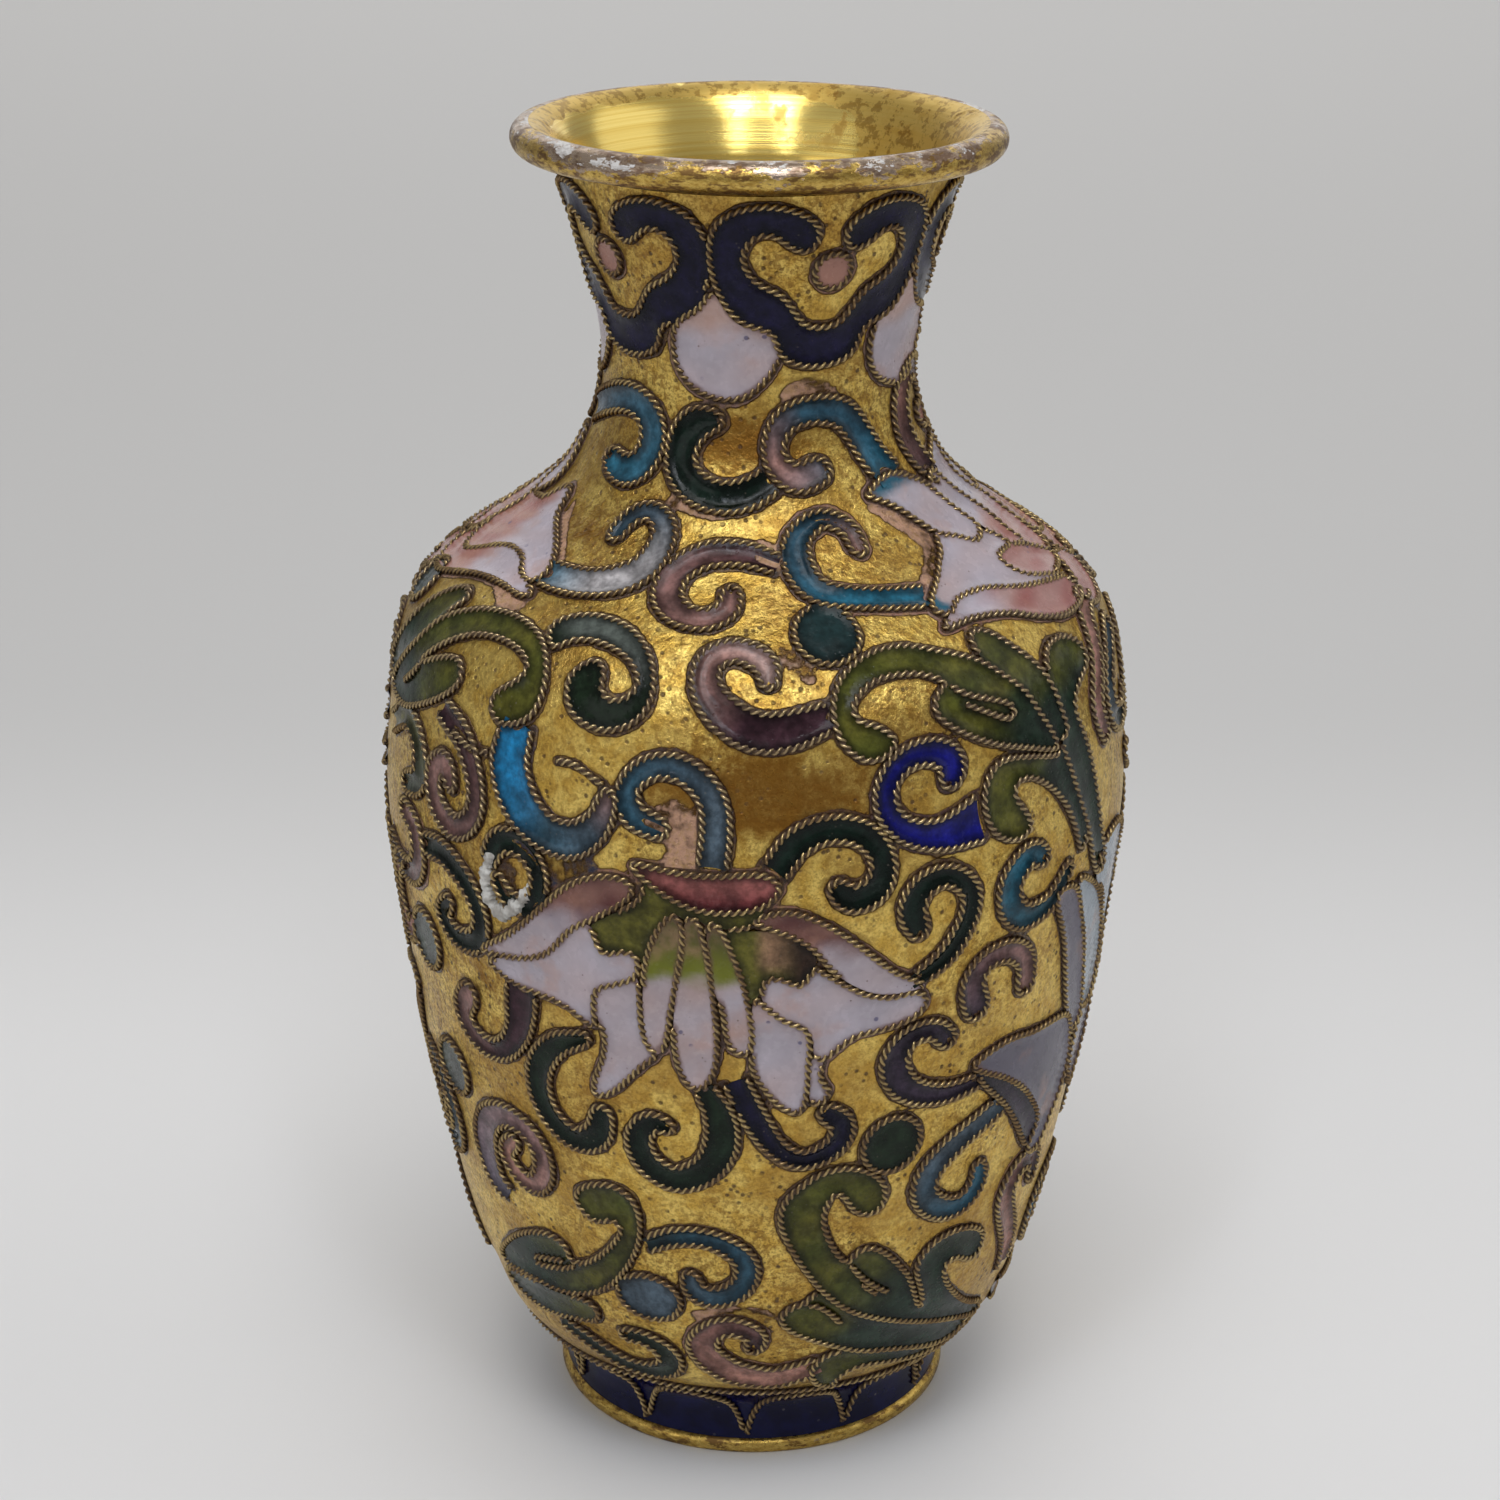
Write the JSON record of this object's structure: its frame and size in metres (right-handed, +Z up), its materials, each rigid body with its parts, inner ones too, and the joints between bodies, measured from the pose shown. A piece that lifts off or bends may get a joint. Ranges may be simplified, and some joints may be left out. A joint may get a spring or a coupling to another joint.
{
  "type": "vase",
  "caption": "baluster vase with a flared beaded mouth and ring foot, gilded metal body covered in wire-edged enamel scrolls, petals and leaves",
  "frame": {"origin": "centre of the foot ring's underside, on the surface the vase stands on", "axes": "+Z up along the vase's axis; -Y towards the front, where the large lotus is; +X to the viewer's right"},
  "size_m": [0.0718, 0.073, 0.13],
  "materials": {
    "gilded_copper": "satin",
    "gilt_wire": "satin",
    "counter_enamel": "gloss",
    "enamel_navy": "gloss",
    "enamel_blue": "gloss",
    "enamel_light_blue": "gloss",
    "enamel_cyan": "gloss",
    "enamel_dark_green": "gloss",
    "enamel_olive": "gloss",
    "enamel_mauve": "gloss",
    "enamel_plum": "gloss",
    "enamel_white": "gloss",
    "enamel_pink": "gloss",
    "enamel_crimson": "gloss"
  },
  "bodies": {
    "root": {"base_counter_enamel": "counter_enamel", "base_plate": "gilded_copper", "blue_loop_back": "enamel_blue", "blue_loop_front": "enamel_blue", "blue_scroll_back": "enamel_blue", "blue_scroll_front": "enamel_blue", "cyan_comma_back": "enamel_cyan", "cyan_comma_front": "enamel_cyan", "dark_green_comma_back": "enamel_dark_green", "dark_green_comma_front": "enamel_dark_green", "foot_enamel_band": "enamel_navy", "foot_ring": "gilded_copper", "foot_ring_wire": "gilt_wire", "foot_scallop_wire": "gilt_wire", "green_shoulder_leaf_back": "enamel_olive", "green_shoulder_leaf_front": "enamel_olive", "light_blue_hook_back": "enamel_light_blue", "light_blue_hook_front": "enamel_light_blue", "lotus_centre_petal_back": "enamel_white", "lotus_centre_petal_front": "enamel_white", "lotus_crown_petal_back": "enamel_crimson", "lotus_crown_petal_front": "enamel_crimson", "lotus_left_lower_petal_back": "enamel_white", "lotus_left_lower_petal_front": "enamel_white", "lotus_left_upper_petal_back": "enamel_pink", "lotus_left_upper_petal_front": "enamel_pink", "lotus_left_wing_back": "enamel_white", "lotus_left_wing_front": "enamel_white", "lotus_right_lower_petal_back": "enamel_white", "lotus_right_lower_petal_front": "enamel_white", "lotus_right_upper_petal_back": "enamel_pink", "lotus_right_upper_petal_front": "enamel_pink", "lotus_right_wing_back": "enamel_white", "lotus_right_wing_front": "enamel_white", "lower_belly_shell": "gilded_copper", "mouth_rim_bead": "gilded_copper", "neck_drop_enamel_1": "enamel_white", "neck_drop_enamel_2": "enamel_white", "neck_drop_enamel_3": "enamel_white", "neck_drop_enamel_4": "enamel_white", "neck_drop_enamel_5": "enamel_white", "neck_shell": "gilded_copper", "olive_leaf_back": "enamel_olive", "olive_leaf_front": "enamel_olive", "pink_scroll_back": "enamel_mauve", "pink_scroll_front": "enamel_mauve", "plum_comma_back": "enamel_plum", "plum_comma_front": "enamel_plum", "ruyi_head_enamel_1": "enamel_navy", "ruyi_head_enamel_2": "enamel_navy", "ruyi_head_enamel_3": "enamel_navy", "ruyi_head_enamel_4": "enamel_navy", "ruyi_head_enamel_5": "enamel_navy", "shoulder_shell": "gilded_copper", "sky_blue_scroll_back": "enamel_light_blue", "sky_blue_scroll_front": "enamel_light_blue", "steel_blue_crook_back": "enamel_blue", "steel_blue_crook_front": "enamel_blue"}
  },
  "joints": []
}
